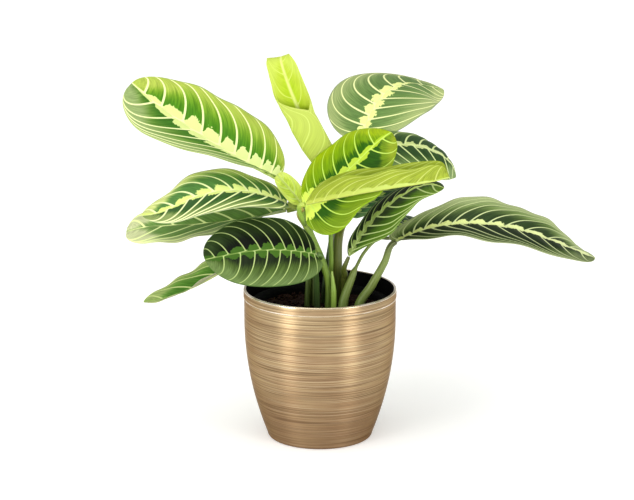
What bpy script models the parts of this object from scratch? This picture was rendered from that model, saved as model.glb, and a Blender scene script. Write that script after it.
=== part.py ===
# A prayer plant in a lacquered metal cachepot. The plant stands in its own black
# growing pot, which stands on the floor of the cachepot. Origin: the middle of the
# cachepot's flat foot, +Z up, front of the plant towards -Y. Lengths below are in mm.
import math

import bmesh
import bpy
import numpy as np
from mathutils import Vector

MM = 0.001
GAP = 0.3  # left between two pieces that touch

# cachepot: straight below the rim, then its wall follows a parabola down to the foot
RIM_RADIUS = 65.0
POT_HEIGHT = 131.0
STRAIGHT_ABOVE = 104.0
FOOT_NARROWING = 20.5
POT_WALL = 2.0
POT_FLOOR = 2.5
FOOT_ROUNDING = 2.5
COLLAR_HEIGHT = 8.0
COLLAR_STEP = 0.5

# growing pot, a thin tapered tub with a rolled rim
GROW_RIM_RADIUS = 57.5
GROW_FOOT_RADIUS = 40.0
GROW_TOP = 119.0
GROW_WALL = 1.2
GROW_LIP = 2.2
GROW_LIP_HEIGHT = 5.0

SOIL_TOP = 111.0
SOIL_RISE = 2.0  # the middle of the soil stands this much over its edge

TURNED_STEPS = 40
BLADE_THICKNESS = 0.8
BLADE_CELLS = (14, 6)  # along and across
STALK_SIDES = 2  # a curve's bevel resolution of 2 gives eight sides
STALK_STEPS = 3

# Each blade starts at base and runs for length along a midrib whose heading turns by
# sweep and whose climb goes from rise to tip_rise. roll tips the blade about the midrib
# (by twist more at the tip). left and right give each half's fold at the base and at
# the tip, curl its further bend towards the margin, hook a bend of the last stretch.
# peak is where the blade is widest, ends how blunt base and tip are (0.5 is round),
# lobe how far each half reaches back past the stalk.
USUAL = dict(sweep=0, bend=1.0, twist=0, curl=(-15, -15), peak=0.46, ends=(0.47, 0.58),
             lobe=(4, 4), hook=(0.7, 0))
BLADES = {
    "upper_left": dict(
        base=(-33, 5, 225), heading=165, rise=27, tip_rise=32, bend=1.2, length=157, width=84,
        roll=-25, twist=-2, left=(50, -12), right=(22, 0), curl=(-15, -16), peak=0.48,
        ends=(0.44, 0.42), lobe=(2, 2), hook=(0.75, -22)),
    "mid_left": dict(
        base=(-27, -2, 205), heading=199, sweep=-4, rise=29, tip_rise=-47, bend=1.2, length=136,
        width=66, roll=-20, twist=10, left=(20, 2), right=(22, 7), curl=(-31, -20), peak=0.53,
        lobe=(2, 2), hook=(0.7, 30)),
    "under_left": dict(
        base=(-29, 10, 196), heading=175, rise=-14, tip_rise=3, bend=1.2, length=141, width=62,
        roll=-14, twist=-13, left=(36, 3), right=(15, 15), curl=(-12, -20), hook=(0.7, -27)),
    "low_left": dict(
        base=(-3, -28, 167.5), heading=206, sweep=-3, rise=16, tip_rise=-14, bend=1.2, length=103,
        width=64, roll=-54, twist=8, left=(6, -5), right=(5, 2), curl=(-20, -16), peak=0.45,
        lobe=(7, 0), hook=(0.7, 20)),
    "drooping_left": dict(
        base=(-49, -12, 176), heading=180, rise=-45, tip_rise=-14, length=117, width=46,
        roll=-7, twist=-2, left=(36, 17), right=(29, 19), curl=(-3, -10), hook=(0.7, 10)),
    "young_upright": dict(
        base=(14, 16, 221), heading=190, rise=55, tip_rise=74, length=131, width=42, roll=72,
        twist=2, left=(31, -4), right=(37, -4), curl=(60, 60), peak=0.45, ends=(0.42, 0.22),
        hook=(0.82, 150)),
    "top_right": dict(
        base=(36, 93, 242), heading=69, sweep=-30, rise=49, tip_rise=-48, bend=1.3, length=149,
        width=94, roll=2, twist=17, left=(7, -4), right=(19, -26), curl=(-18, -19),
        ends=(0.5, 0.6), hook=(0.7, 12)),
    "centre_bright": dict(
        base=(-12, -20, 206), heading=0, sweep=6, rise=42, tip_rise=46, length=97, width=72,
        roll=48, twist=2, left=(8, -8), right=(4, 4), curl=(-36, -12), ends=(0.4, 0.5),
        lobe=(-2, 16), hook=(0.7, -40)),
    "folded_front": dict(
        base=(-12, -33, 212), heading=-12, sweep=5, rise=15, tip_rise=8, length=126, width=52,
        roll=7, twist=-3, left=(86, 88), right=(66, 69), curl=(5, -12), peak=0.5,
        ends=(0.5, 0.32), lobe=(-4, -4), hook=(0.7, 25)),
    "behind_right": dict(
        base=(36, 36, 241), heading=15, rise=20, tip_rise=-57, bend=1.2, length=102, width=71,
        roll=27, twist=3, left=(7, -9), right=(8, -9), curl=(-35, -31), peak=0.41,
        ends=(0.5, 0.6), lobe=(6, 6), hook=(0.7, -28)),
    "inner_right": dict(
        base=(22, -14, 159), heading=-14, sweep=-6, rise=70, tip_rise=15, length=115, width=53,
        roll=35, twist=-20, left=(11, 0), right=(-17, 8), curl=(-42, -42), peak=0.63,
        lobe=(0, 0), hook=(0.75, -46)),
    "long_right": dict(
        base=(60, 2, 174), heading=-18, sweep=5, rise=31, tip_rise=-37, length=183, width=68,
        roll=28, twist=-27, left=(31, -5), right=(12, 5), curl=(-13, -19), peak=0.6,
        lobe=(8, 10), hook=(0.7, 13)),
    "rear": dict(
        base=(26, 14, 190), heading=55, sweep=-3, rise=20, tip_rise=3, length=107, width=52,
        roll=2, twist=4, left=(10, 5), right=(12, 2)),
    "low_rear": dict(
        base=(62, 22, 175), heading=63, sweep=-4, rise=16, tip_rise=-23, length=93, width=46,
        roll=11, left=(10, 5), right=(10, 5)),
}

# Each stalk stands upright on the soil at its first point (x, y), or branches off another
# stalk where that point has a height too. It passes the others and meets its blade along
# the midrib over the approach. radii run from foot to blade: the sheathed foot is thick,
# the upper stalk thin, the joint under the blade thicker.
STALKS = {
    "upper_left": dict(
        points=[(8, 5), (7.5, 5, 135), (2.5, 3, 153), (-4.3, 0, 170), (-12, -5, 189)],
        approach=11, radii=(3.0, 2.7, 4.2)),
    "mid_left": dict(
        points=[(-4.5, 3), (-5, 4, 145), (-8, 6, 180)],
        approach=9, radii=(2.6, 1.9, 2.4)),
    "under_left": dict(
        points=[(-9, 10), (-9, 10, 145), (-10, 12, 182)],
        approach=9, radii=(3.0, 1.9, 2.3)),
    "low_left": dict(
        points=[(-2.5, -5), (-3, -9, 138), (-3.5, -16, 156)],
        approach=3, radii=(2.7, 2.1, 2.1), clear=1.1),
    "drooping_left": dict(
        points=[(-11, 1), (-11, 0, 150), (-24, -6, 184)],
        approach=9, radii=(2.6, 1.8, 2.1)),
    "young_upright": dict(
        points=[(8.5, 11.5), (9.5, 9, 150), (10.5, 11, 185)],
        approach=9, radii=(2.3, 1.9, 2.2)),
    "top_right": dict(
        points=[(10, 22), (11, 26, 143), (13, 44, 190), (22, 66, 215)],
        approach=10, radii=(3.0, 2.0, 2.4)),
    "centre_bright": dict(
        points=[(7, -3), (7, -3.5, 135), (2.3, -6, 153), (-4.3, -9, 170), (-12, -13, 188)],
        approach=4, radii=(3.0, 2.6, 2.1), clear=1.3),
    "behind_right": dict(
        points=[(3, 15), (6, 18, 145), (10.5, 25, 175), (15, 33, 215)],
        approach=9, radii=(2.4, 1.8, 2.0), clear=1.1),
    "inner_right": dict(
        points=[(21, 6), (21, 4.5, 138)],
        approach=7, radii=(3.8, 3.2, 2.4)),
    "long_right": dict(
        points=[(33, 0), (42, 1, 133), (53, 1, 156)],
        approach=6, radii=(4.2, 3.1, 2.4)),
    "rear": dict(
        points=[(15, 14), (14.8, 13.5, 150), (15.8, 13.5, 173)],
        approach=8, radii=(4.3, 4.3, 2.3)),
    "low_rear": dict(
        points=[(19, -5), (28.5, -1, 144), (31, 1, 149), (38, 8, 160), (50, 16, 170)],
        approach=5, radii=(4.4, 1.5, 1.9)),
    "folded_front": dict(
        points=[(-12.6, -18.8, 191), (-13.2, -21.5, 193), (-17, -28, 203)],
        approach=4, radii=(1.8, 1.9, 2.2)),
}
SHEATH = dict(points=[(11.5, -9), (11.5, -8.5, 130), (10.2, -7, 147)], radii=(2.4, 2.4, 0.7))
# the winged top of the upper_left stalk, a small blade of its own
WING = dict(base=(-16.8, -5.6, 208.5), heading=180, rise=61, tip_rise=58, length=31, width=20,
            roll=-60, left=(0, 0), right=(20, 10), curl=(20, 20), peak=0.66, ends=(0.9, 0.45),
            lobe=(0, 0))
LIGHT_LEAVES = ("upper_left", "young_upright", "centre_bright", "folded_front", "under_left")


def principled(name, colour, metallic, roughness):
    material = bpy.data.materials.new(name)
    material.use_nodes = True
    shader = material.node_tree.nodes["Principled BSDF"]
    shader.inputs["Base Color"].default_value = (*colour, 1)
    shader.inputs["Metallic"].default_value = metallic
    shader.inputs["Roughness"].default_value = roughness
    return material


def place(name, data, material):
    piece = bpy.data.objects.new(name, data)
    data.materials.append(material)
    plant.objects.link(piece)
    return piece


def blend(start, end, part):
    return start + (end - start) * part


def pot_radius(height):
    # R = rim - narrowing (1 - height / straight)^2 below the straight part
    below = 1 - min(height / STRAIGHT_ABOVE, 1)
    return RIM_RADIUS - FOOT_NARROWING * below ** 2


def turned(name, profile, material):
    # profile: (radius, height) from the axis inside, over the rim and down the outside
    mesh = bpy.data.meshes.new(name)
    mesh.from_pydata([(r * MM, 0, z * MM) for r, z in profile],
                     [(i, i + 1) for i in range(len(profile) - 1)], [])
    piece = place(name, mesh, material)
    screw = piece.modifiers.new("Turn", "SCREW")
    screw.steps = screw.render_steps = TURNED_STEPS
    screw.use_merge_vertices = True
    screw.merge_threshold = 0.0001
    return piece


def outer_pot(material):
    inside_heights = (100, 80, 60, 40, 22, 10)
    inner_foot = pot_radius(POT_FLOOR) - POT_WALL
    inside = [(0, POT_FLOOR), (inner_foot, POT_FLOOR)]
    inside += [(pot_radius(z) - POT_WALL, z) for z in reversed(inside_heights)]
    rim = [(RIM_RADIUS - POT_WALL, POT_HEIGHT - 0.6), (RIM_RADIUS - POT_WALL + 0.6, POT_HEIGHT),
           (RIM_RADIUS + COLLAR_STEP - 0.6, POT_HEIGHT),
           (RIM_RADIUS + COLLAR_STEP, POT_HEIGHT - 0.6),
           (RIM_RADIUS + COLLAR_STEP, POT_HEIGHT - COLLAR_HEIGHT + COLLAR_STEP),
           (RIM_RADIUS, POT_HEIGHT - COLLAR_HEIGHT)]
    outside = [(pot_radius(z), z) for z in (104, 90, 75, 60, 45, 32, 20, 11, 5)]
    foot = pot_radius(FOOT_ROUNDING)
    rounded = [(foot - FOOT_ROUNDING * (1 - math.cos(a)), FOOT_ROUNDING * (1 - math.sin(a)))
               for a in np.radians((0, 30, 60, 90))]
    return turned("outer_pot", inside + rim + outside + rounded + [(0, 0)], material)


def grow_radius(height):
    return blend(GROW_FOOT_RADIUS, GROW_RIM_RADIUS, height / GROW_TOP)


def grow_pot(material):
    bottom = POT_FLOOR + GAP
    lip_foot = GROW_TOP - GROW_LIP_HEIGHT
    profile = [(0, bottom + GROW_WALL), (grow_radius(bottom + GROW_WALL) - GROW_WALL, bottom + GROW_WALL),
               (grow_radius(60) - GROW_WALL, 60), (GROW_RIM_RADIUS - GROW_WALL, GROW_TOP),
               (GROW_RIM_RADIUS + GROW_LIP - 0.5, GROW_TOP),
               (GROW_RIM_RADIUS + GROW_LIP, GROW_TOP - 0.8),
               (GROW_RIM_RADIUS + GROW_LIP, lip_foot), (grow_radius(lip_foot), lip_foot),
               (grow_radius(60), 60), (grow_radius(bottom + 2), bottom + 2),
               (grow_radius(bottom) - 2, bottom), (0, bottom)]
    return turned("grow_pot", profile, material)


def soil_height(radius):
    # a low mound: top + rise (1 - (radius / edge)^2)
    edge = grow_radius(SOIL_TOP)
    return SOIL_TOP + SOIL_RISE * (1 - (radius / edge) ** 2)


def soil(material):
    clear = GROW_WALL + GAP
    bottom = POT_FLOOR + GAP + clear
    top = [(r, soil_height(r)) for r in (0, 18, 36, 48)]
    side = [(grow_radius(z) - clear, z) for z in (SOIL_TOP, 60, bottom)]
    return turned("soil", top + side + [(0, bottom)], material)


def turn(first, second, angle):
    # both directions turned by the angle, first towards second
    c, s = np.cos(angle)[:, None], np.sin(angle)[:, None]
    return first * c + second * s, second * c - first * s


def midrib(blade, stations=161):
    # place, forward, leftward and upward direction at even stations s from base to tip
    s = np.linspace(0, 1, stations)
    heading = np.radians(blend(blade["heading"], blade["heading"] + blade["sweep"], s))
    rise = np.radians(blend(blade["rise"], blade["tip_rise"], s ** blade["bend"]))
    level = np.stack([np.cos(heading), np.sin(heading), 0 * s], axis=1)
    leftward = np.stack([-np.sin(heading), np.cos(heading), 0 * s], axis=1)
    forward, upward = turn(level, np.array([0, 0, 1.0]), rise)
    leftward, upward = turn(leftward, upward, np.radians(blade["roll"] + blade["twist"] * s))
    start, most = blade["hook"]
    hook = np.radians(most) * np.clip((s - start) / (1 - start), 0, 1) ** 1.5
    forward, upward = turn(forward, upward, hook)
    steps = (forward[1:] + forward[:-1]) / 2 * blade["length"] / (stations - 1)
    path = np.vstack([np.zeros(3), np.cumsum(steps, axis=0)]) + blade["base"]
    return s, path, forward, leftward, upward


def half_width(blade, u):
    # width / 2 (1 - |2 u^k - 1|^2.2)^e, widest at u = peak, never under 0.6
    k = math.log(0.5) / math.log(blade["peak"])
    e = blend(*blade["ends"], u)
    return blade["width"] / 2 * np.clip(1 - np.abs(2 * u ** k - 1) ** 2.2, 0, 1) ** e


def blade_points(blade, u, t):
    # u runs from base to tip, t from the right margin (-1) to the left (1). Each half
    # leaves the midrib at its fold and turns by curl up to the margin:
    # chord = w |t| sinc(curl |t| / 2), out = chord cos(fold + curl |t| / 2), up = chord sin
    s, *curves = midrib(blade)
    path, forward, leftward, upward = (
        np.stack([np.interp(u, s, c[:, i]) for i in range(3)], axis=1) for c in curves)
    is_left, out = t >= 0, np.abs(t)
    fold = np.radians(np.where(is_left, blend(*blade["left"], u), blend(*blade["right"], u)))
    turn_half = np.radians(np.where(is_left, *blade["curl"])) * out / 2
    shape = half_width(blade, u)
    chord = np.maximum(shape, 0.6) * out * np.sinc(turn_half / np.pi)
    sideways = np.sign(t) * chord * np.cos(fold + turn_half)
    lift = chord * np.sin(fold + turn_half)
    # the rounded lobes at the base: lobe |t|^1.5 min(1, 4 w / width) (1 - u)^6
    lobe = np.where(is_left, *blade["lobe"]) * out ** 1.5
    lobe = lobe * np.minimum(1, 4 * shape / blade["width"]) * (1 - u) ** 6
    return path + sideways[:, None] * leftward + lift[:, None] * upward - lobe[:, None] * forward


def blade(name, spec, material):
    mesh = bpy.data.meshes.new(name)
    grid = bmesh.new()
    bmesh.ops.create_grid(grid, x_segments=BLADE_CELLS[0], y_segments=BLADE_CELLS[1], size=1)
    flat = np.array([v.co for v in grid.verts])
    # stations crowd towards base and tip: u = (1 - cos(pi v)) / 2
    u, t = (1 - np.cos(np.pi * (flat[:, 0] + 1) / 2)) / 2, flat[:, 1]
    for vertex, point in zip(grid.verts, blade_points({**USUAL, **spec}, u, t)):
        vertex.co = Vector(point) * MM
    for face in grid.faces:
        face.smooth = True
    grid.to_mesh(mesh)
    grid.free()
    piece = place(name, mesh, material)
    solidify = piece.modifiers.new("Thickness", "SOLIDIFY")
    solidify.thickness = BLADE_THICKNESS * MM
    solidify.offset = 0
    return piece


def stalk(name, points, radii, material, blade=None, approach=0, clear=0.8):
    # a Bezier tube through the points, each tangent along the chord of its neighbours,
    # which ends clear of the blade's base
    path = [Vector((*p, soil_height(math.hypot(*p)) + GAP)) if len(p) == 2 else Vector(p)
            for p in points]
    first = Vector((0, 0, 1)) if len(points[0]) == 2 else (path[1] - path[0]).normalized()
    last = (path[-1] - path[-2]).normalized()
    if blade:
        _, _, forward, _, _ = midrib(blade)
        last, base = Vector(forward[0]), Vector(blade["base"])
        path += [base - last * approach, base - last * clear]
    tangents = [first]
    tangents += [(b - a).normalized() for a, b in zip(path, path[2:])] + [last]
    if blade:
        tangents[-2] = last
    foot, upper, joint = radii
    sizes = [foot, blend(foot, upper, 0.5)] + [upper] * (len(path) - 4)
    sizes += [blend(upper, joint, 0.7), joint] if blade else [joint]

    curve = bpy.data.curves.new(name, "CURVE")
    curve.dimensions = "3D"
    curve.resolution_u = STALK_STEPS
    curve.bevel_depth = MM
    curve.bevel_resolution = STALK_SIDES
    curve.use_fill_caps = True
    spline = curve.splines.new("BEZIER")
    spline.bezier_points.add(len(path) - 1)
    for i, (knot, at, size) in enumerate(zip(spline.bezier_points, path, sizes)):
        before, after = path[max(i - 1, 0)], path[min(i + 1, len(path) - 1)]
        knot.handle_left_type = knot.handle_right_type = "FREE"
        knot.co = at * MM
        knot.handle_left = (at - tangents[i] * (at - before).length / 3) * MM
        knot.handle_right = (at + tangents[i] * (after - at).length / 3) * MM
        knot.radius = size
    return place(name, curve, material)


for old in list(bpy.data.objects):
    bpy.data.objects.remove(old)
plant = bpy.data.collections.new("potted_prayer_plant")
bpy.context.scene.collection.children.link(plant)

lacquer = principled("gold_lacquer", (0.52, 0.36, 0.19), 0.3, 0.45)
plastic = principled("black_plastic", (0.012, 0.012, 0.013), 0, 0.7)
peat = principled("potting_soil", (0.035, 0.018, 0.012), 0, 0.9)
dark_leaf = principled("dark_leaf", (0.09, 0.2, 0.035), 0, 0.5)
light_leaf = principled("light_leaf", (0.38, 0.55, 0.1), 0, 0.5)
green_stalk = principled("green_stalk", (0.2, 0.3, 0.06), 0, 0.5)

outer_pot(lacquer)
grow_pot(plastic)
soil(peat)
for name, spec in BLADES.items():
    blade("leaf_" + name, spec, light_leaf if name in LIGHT_LEAVES else dark_leaf)
    stalk("stalk_" + name, material=green_stalk, blade={**USUAL, **BLADES[name]}, **STALKS[name])
stalk("basal_sheath", material=green_stalk, **SHEATH)
blade("stalk_wing", WING, light_leaf)
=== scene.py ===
# The looks of a potted prayer plant: banded leaves, stalks, soil, growing pot and a gold cachepot.
# Lengths are in mm unless a name says otherwise, and become metres as a mesh is filled.
import math

import bpy
import numpy as np
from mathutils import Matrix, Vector


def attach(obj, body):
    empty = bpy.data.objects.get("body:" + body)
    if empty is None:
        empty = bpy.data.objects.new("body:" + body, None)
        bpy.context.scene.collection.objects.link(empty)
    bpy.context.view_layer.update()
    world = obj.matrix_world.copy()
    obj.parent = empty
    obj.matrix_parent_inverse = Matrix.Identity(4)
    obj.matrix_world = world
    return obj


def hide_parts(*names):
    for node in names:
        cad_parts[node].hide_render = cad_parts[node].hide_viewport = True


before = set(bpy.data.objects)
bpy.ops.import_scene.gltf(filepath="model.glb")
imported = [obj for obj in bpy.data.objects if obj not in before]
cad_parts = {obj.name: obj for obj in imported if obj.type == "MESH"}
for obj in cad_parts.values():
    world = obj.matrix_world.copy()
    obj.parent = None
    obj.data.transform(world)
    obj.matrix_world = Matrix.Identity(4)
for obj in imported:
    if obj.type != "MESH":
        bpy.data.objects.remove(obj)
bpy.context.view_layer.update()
mm = 0.001
print("frame loaded")


def linear(hexColour):
    # sRGB to linear: c / 12.92 when dark, else ((c + 0.055) / 1.055) ^ 2.4
    channels = [int(hexColour[i:i + 2], 16) / 255 for i in (1, 3, 5)]
    return (*[c / 12.92 if c < 0.04045 else ((c + 0.055) / 1.055) ** 2.4 for c in channels], 1.0)


# settings that many nodes share
smooth = dict(interpolation_type="SMOOTHSTEP")
rgba = dict(data_type="RGBA")


def setInputs(node, inputs):
    # gives a node's inputs their values, in order or by name; a node or socket is linked instead
    for socket, value in inputs.items() if isinstance(inputs, dict) else enumerate(inputs):
        if isinstance(value, bpy.types.Node):
            value = next(output for output in value.outputs if output.enabled)
        if isinstance(value, bpy.types.NodeSocket):
            node.id_data.links.new(value, node.inputs[socket])
        else:
            node.inputs[socket].default_value = value


def addNode(tree, kind, inputs=(), **settings):
    # adds a shader node with its settings, then fills its inputs; those of a MapRange are the
    # value, the two ends it comes from and the two it goes to
    made = tree.nodes.new("ShaderNode" + kind)
    for name, value in settings.items():
        setattr(made, name, value)
    setInputs(made, inputs)
    return made


def newMaterial(name, inputs):
    material = bpy.data.materials.new(name)
    material.use_nodes = True
    shader = material.node_tree.nodes["Principled BSDF"]
    setInputs(shader, inputs)
    return material, material.node_tree, shader


def blend(start, end, part):
    return start + (end - start) * part


def through(knots, x):
    # cubic through (place, value) knots with q from 0 to 1 between two: each slope is taken from
    # the neighbouring knots; a plain number stays the same everywhere
    if np.ndim(knots) == 0:
        return np.full(np.shape(x), float(knots))
    places, values = np.array(knots, float).T
    slopes = np.gradient(values, places)
    i = np.clip(np.searchsorted(places, x, side="right") - 1, 0, len(places) - 2)
    gap = places[i + 1] - places[i]
    q = np.clip((x - places[i]) / gap, 0, 1)
    near = values[i] * (1 + 2 * q) * (1 - q) ** 2 + slopes[i] * gap * q * (1 - q) ** 2
    return near + values[i + 1] * q * q * (3 - 2 * q) + slopes[i + 1] * gap * q * q * (q - 1)


def newPiece(name, points, faces, materials, standsFor, slot, values=None, faceMaterials=None):
    # one mesh object that rides on the root body and stands for one node; values are attributes
    # with a number or a vector for each point
    mesh = bpy.data.meshes.new(name)
    mesh.from_pydata((np.asarray(points) * mm).tolist(), [], [list(f) for f in faces])
    for material in materials:
        mesh.materials.append(material)
    if faceMaterials is not None:
        mesh.polygons.foreach_set("material_index", np.asarray(faceMaterials, np.int32))
    mesh.polygons.foreach_set("use_smooth", np.ones(len(mesh.polygons), bool))
    for key, numbers in (values or {}).items():
        kind = "FLOAT_VECTOR" if np.ndim(numbers) == 2 else "FLOAT"
        attribute = mesh.attributes.new(key, kind, "POINT")
        field = "vector" if kind == "FLOAT_VECTOR" else "value"
        attribute.data.foreach_set(field, np.asarray(numbers, np.float32).ravel())
    mesh.update()
    piece = bpy.data.objects.new(name, mesh)
    bpy.context.scene.collection.objects.link(piece)
    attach(piece, "root")
    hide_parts(standsFor)


def gridFaces(rows, columns, closed=False):
    # quads between neighbouring rows and columns; closed joins the last column to the first
    across = columns if closed else columns - 1
    row, column = np.meshgrid(np.arange(rows - 1), np.arange(across), indexing="ij")
    near, far = row * columns, (row + 1) * columns
    right = (column + 1) % columns
    return np.stack([near + column, far + column, far + right, near + right], axis=-1).reshape(-1, 4)


# Each blade starts at base and runs for length along a midrib whose heading turns by sweep
# and whose climb goes from rise to tipRise, bend setting how early. roll tips the blade about
# the midrib, by twist more at the tip. left and right give each half's fold at the base and at
# the tip, curl its further bend towards the margin, hook a bend of the last stretch. peak is
# where the blade is widest, ends how blunt base and tip are, lobe how far each half reaches back
# past the stalk. A curl may change along the blade, given as (place, degrees) knots. halves gives
# half widths in mm as knots instead of width, peak and ends; trim multiplies the left and right
# half width; squash widens and flattens the cross-section. waves are (side, height, count, phase)
# ripples of the margin, side 1 being left. veins is the number of side veins in each half, lean
# how strongly they run to the tip, straight and arched, for the left and for the right half.
# pleat is how deep the blade is pleated between them. groove is the depth and half width of the
# furrow over the midrib, rib the height of the midrib below, veinRib a side vein's height and half
# width below. blunt is the least half width, which base and tip keep.
usualBlade = dict(
    sweep=0, bend=1.0, twist=0, curl=(-15, -15), peak=0.46, ends=(0.47, 0.58), lobe=(4, 4),
    hook=(0.7, 0), halves=None, trim=(1, 1), squash=(1, 1), waves=(), veins=9,
    lean=((0.35, 0.35), (0.35, 0.35)), pleat=0.5, thickness=0.5, groove=(0.45, 0.9), rib=1.0,
    veinRib=(0.22, 0.6), blunt=0.6)
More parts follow.
